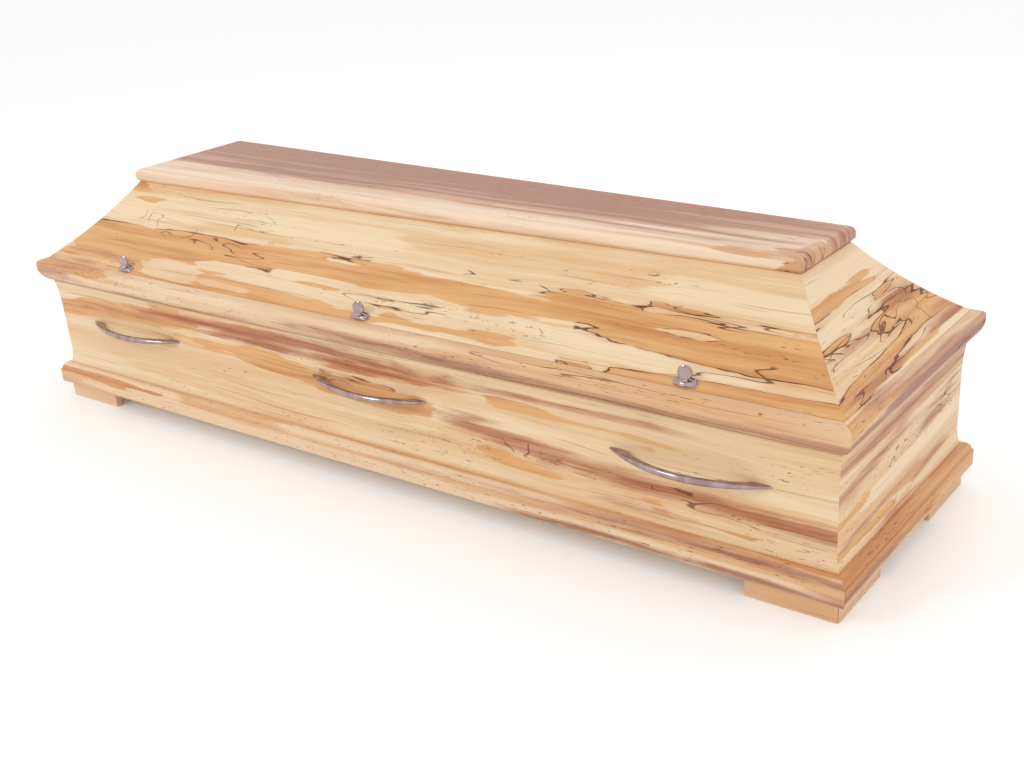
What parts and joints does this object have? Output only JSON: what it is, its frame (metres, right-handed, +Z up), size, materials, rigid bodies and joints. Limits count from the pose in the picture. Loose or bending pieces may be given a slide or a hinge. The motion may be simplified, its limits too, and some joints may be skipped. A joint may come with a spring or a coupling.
{
  "type": "wooden coffin",
  "caption": "Tapered solid wood coffin: coved trough with plinth moulding on bracket feet, loose hipped lid with rounded rim and flat top plank, bow handles and thumb screws.",
  "frame": {"origin": "on the ground under the middle of the coffin's length and width", "axes": "+X towards the foot end, the narrower one; -Y the front long side; +Z up"},
  "size_m": [2, 0.7368, 0.537],
  "materials": {
    "board_wood": "clear satin lacquer over spalted beech, cream with orange-brown fields, black zone lines and dark flecks",
    "moulding_wood": "clear satin lacquer over spalted beech, tan to pinkish brown with dark dashes",
    "plank_wood": "clear satin lacquer over spalted beech, mauve brown streaks running lengthwise",
    "satin_metal": "satin chromed metal"
  },
  "bodies": {
    "root": {"bracket_foot_back_end": "board_wood", "bracket_foot_back_side": "board_wood", "bracket_foot_front_end": "board_wood", "bracket_foot_front_side": "board_wood", "bracket_head_back_end": "board_wood", "bracket_head_back_side": "board_wood", "bracket_head_front_end": "board_wood", "bracket_head_front_side": "board_wood", "handle_back_foot": "satin_metal", "handle_back_head": "satin_metal", "handle_back_mid": "satin_metal", "handle_front_foot": "satin_metal", "handle_front_head": "satin_metal", "handle_front_mid": "satin_metal", "lid_rim_back": "moulding_wood", "lid_rim_foot": "moulding_wood", "lid_rim_front": "moulding_wood", "lid_rim_head": "moulding_wood", "lid_slope_back": "board_wood", "lid_slope_foot": "board_wood", "lid_slope_front": "board_wood", "lid_slope_head": "board_wood", "lid_top": "plank_wood", "plinth_back": "moulding_wood", "plinth_foot": "moulding_wood", "plinth_front": "moulding_wood", "plinth_head": "moulding_wood", "rosette_back_foot": "satin_metal", "rosette_back_head": "satin_metal", "rosette_back_mid": "satin_metal", "rosette_front_foot": "satin_metal", "rosette_front_head": "satin_metal", "rosette_front_mid": "satin_metal", "screw_back_foot": "satin_metal", "screw_back_head": "satin_metal", "screw_back_mid": "satin_metal", "screw_front_foot": "satin_metal", "screw_front_head": "satin_metal", "screw_front_mid": "satin_metal", "trough_back": "board_wood", "trough_floor": "board_wood", "trough_foot": "board_wood", "trough_front": "board_wood", "trough_head": "board_wood"}
  },
  "joints": []
}
